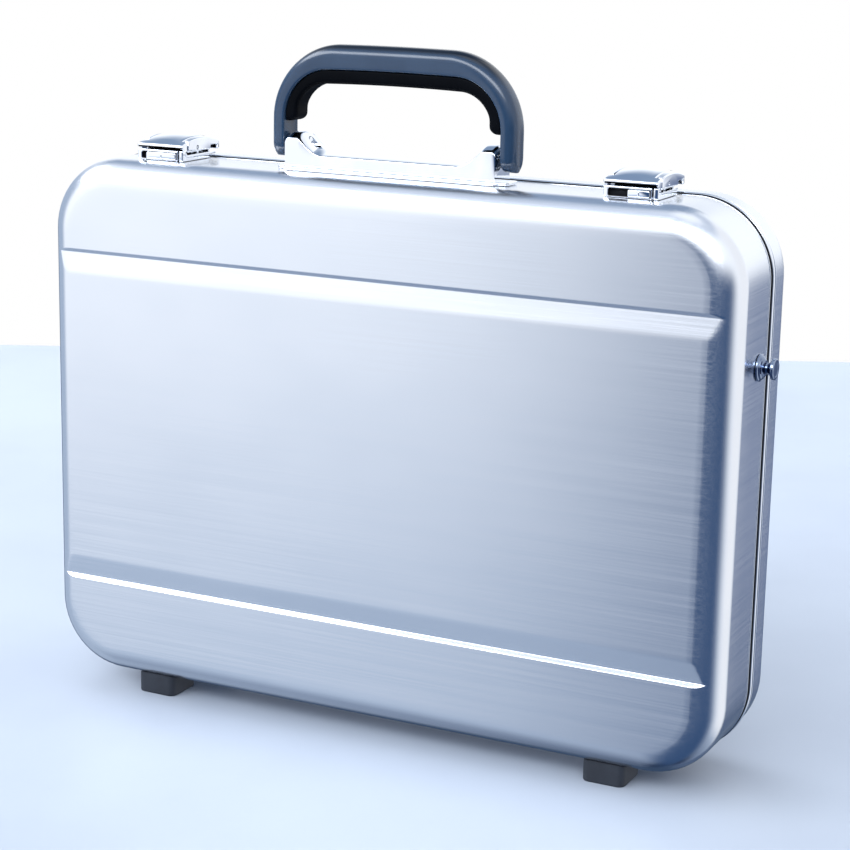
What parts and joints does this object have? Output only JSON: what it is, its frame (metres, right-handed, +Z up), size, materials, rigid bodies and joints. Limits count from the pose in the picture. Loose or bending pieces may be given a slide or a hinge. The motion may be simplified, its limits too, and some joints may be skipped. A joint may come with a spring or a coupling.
{
  "type": "attache case",
  "caption": "Hard aluminium attache case with a hinged lid, pressed creases, folding top handle, flip latches, strap studs, lid stays and rubber feet.",
  "frame": {"origin": "on the floor under the middle of the case, the four feet standing on z = 0", "axes": "+X across the case's width, +Y from the base half's face to the lid's face, +Z up to the handle"},
  "size_m": [0.4774, 0.0948, 0.4237],
  "materials": {
    "brushed_aluminium": "satin, finely brushed along the width",
    "polished_aluminium": "polished extrusion",
    "chrome": "polished plate",
    "steel": "plain zinc-plated steel",
    "foot_rubber": "matt moulded rubber",
    "seal_rubber": "matt extruded rubber",
    "handle_plastic": "satin blue-grey moulding",
    "grip_rubber": "soft matt black",
    "lining_cloth": "close-woven dark cloth on board"
  },
  "bodies": {
    "base": {"base_shell": "brushed_aluminium", "base_valance": "polished_aluminium", "seam_seal": "seal_rubber", "base_lining": "lining_cloth", "hinge_leaf_base": "steel", "hinge_pin": "steel", "handle_bracket": "chrome", "handle_backing_plate": "steel", "front_foot_left": "foot_rubber", "front_foot_screw_left": "steel", "bracket_screw_left": "steel", "handle_pin_left": "chrome", "stud_collar_left": "chrome", "strap_stud_left": "chrome", "latch_case_left": "chrome", "latch_lever_pin_left": "steel", "latch_lever_spring_left": "steel", "stay_base_rivet_left": "steel", "front_foot_right": "foot_rubber", "front_foot_screw_right": "steel", "bracket_screw_right": "steel", "handle_pin_right": "chrome", "stud_collar_right": "chrome", "strap_stud_right": "chrome", "latch_case_right": "chrome", "latch_lever_pin_right": "steel", "latch_lever_spring_right": "steel", "stay_base_rivet_right": "steel"},
    "lid": {"lid_shell": "brushed_aluminium", "lid_valance": "polished_aluminium", "lid_lining": "lining_cloth", "hinge_leaf_lid": "steel", "rear_foot_left": "foot_rubber", "rear_foot_screw_left": "steel", "latch_strike_left": "chrome", "stay_lid_rivet_left": "steel", "rear_foot_right": "foot_rubber", "rear_foot_screw_right": "steel", "latch_strike_right": "chrome", "stay_lid_rivet_right": "steel"},
    "handle": {"handle_shell": "handle_plastic", "handle_grip": "grip_rubber"},
    "latch_lever_left": {"latch_lever_left": "chrome", "latch_hook_pin_left": "steel"},
    "latch_hook_left": {"latch_hook_left": "chrome"},
    "latch_button_left": {"latch_button_left": "chrome"},
    "stay_lower_left": {"stay_lower_link_left": "steel", "stay_knee_rivet_left": "steel"},
    "stay_upper_left": {"stay_upper_link_left": "steel"},
    "latch_lever_right": {"latch_lever_right": "chrome", "latch_hook_pin_right": "steel"},
    "latch_hook_right": {"latch_hook_right": "chrome"},
    "latch_button_right": {"latch_button_right": "chrome"},
    "stay_lower_right": {"stay_lower_link_right": "steel", "stay_knee_rivet_right": "steel"},
    "stay_upper_right": {"stay_upper_link_right": "steel"}
  },
  "joints": [
    {"name": "lid_hinge", "type": "hinge", "parent": "base", "child": "lid", "pos_m": [0, 0.00865, 0.0093], "axis": [-1, 0, 0], "range_deg": [0, 95]},
    {"name": "handle_hinge", "type": "hinge", "parent": "base", "child": "handle", "pos_m": [0, -0.01285, 0.364], "axis": [1, 0, 0], "range_deg": [-90, 90]},
    {"name": "latch_lever_left_hinge", "type": "hinge", "parent": "base", "child": "latch_lever_left", "pos_m": [-0.1557, -0.00035, 0.3585], "axis": [-1, 0, 0], "range_deg": [0, 90]},
    {"name": "latch_hook_left_hinge", "type": "hinge", "parent": "latch_lever_left", "child": "latch_hook_left", "pos_m": [-0.1557, -0.01135, 0.3556], "axis": [-1, 0, 0], "range_deg": [-108, 0]},
    {"name": "latch_button_left_slide", "type": "slide", "parent": "base", "child": "latch_button_left", "axis": [-1, 0, 0], "range_m": [0, 0.003], "stiffness_N_per_m": 400},
    {"name": "stay_lower_left_hinge", "type": "hinge", "parent": "base", "child": "stay_lower_left", "pos_m": [-0.2233, 0.00365, 0.08914], "axis": [-1, 0, 0], "range_deg": [0, 95]},
    {"name": "stay_upper_left_hinge", "type": "hinge", "parent": "stay_lower_left", "child": "stay_upper_left", "pos_m": [-0.2208, 0.00865, 0.16899], "axis": [-1, 0, 0], "range_deg": [-95, 0]},
    {"name": "latch_lever_right_hinge", "type": "hinge", "parent": "base", "child": "latch_lever_right", "pos_m": [0.1557, -0.00035, 0.3585], "axis": [-1, 0, 0], "range_deg": [0, 90]},
    {"name": "latch_hook_right_hinge", "type": "hinge", "parent": "latch_lever_right", "child": "latch_hook_right", "pos_m": [0.1557, -0.01135, 0.3556], "axis": [-1, 0, 0], "range_deg": [-108, 0]},
    {"name": "latch_button_right_slide", "type": "slide", "parent": "base", "child": "latch_button_right", "axis": [-1, 0, 0], "range_m": [0, 0.007], "stiffness_N_per_m": 400},
    {"name": "stay_lower_right_hinge", "type": "hinge", "parent": "base", "child": "stay_lower_right", "pos_m": [0.2233, 0.00365, 0.08914], "axis": [-1, 0, 0], "range_deg": [0, 95]},
    {"name": "stay_upper_right_hinge", "type": "hinge", "parent": "stay_lower_right", "child": "stay_upper_right", "pos_m": [0.2208, 0.00865, 0.16899], "axis": [-1, 0, 0], "range_deg": [-95, 0]}
  ],
  "couplings": [
    {"joint": "latch_hook_left_hinge", "follows": "latch_lever_left_hinge", "ratio": -1.2},
    {"joint": "stay_lower_left_hinge", "follows": "lid_hinge", "ratio": 1},
    {"joint": "stay_upper_left_hinge", "follows": "lid_hinge", "ratio": -1},
    {"joint": "latch_hook_right_hinge", "follows": "latch_lever_right_hinge", "ratio": -1.2},
    {"joint": "stay_lower_right_hinge", "follows": "lid_hinge", "ratio": 1},
    {"joint": "stay_upper_right_hinge", "follows": "lid_hinge", "ratio": -1}
  ]
}
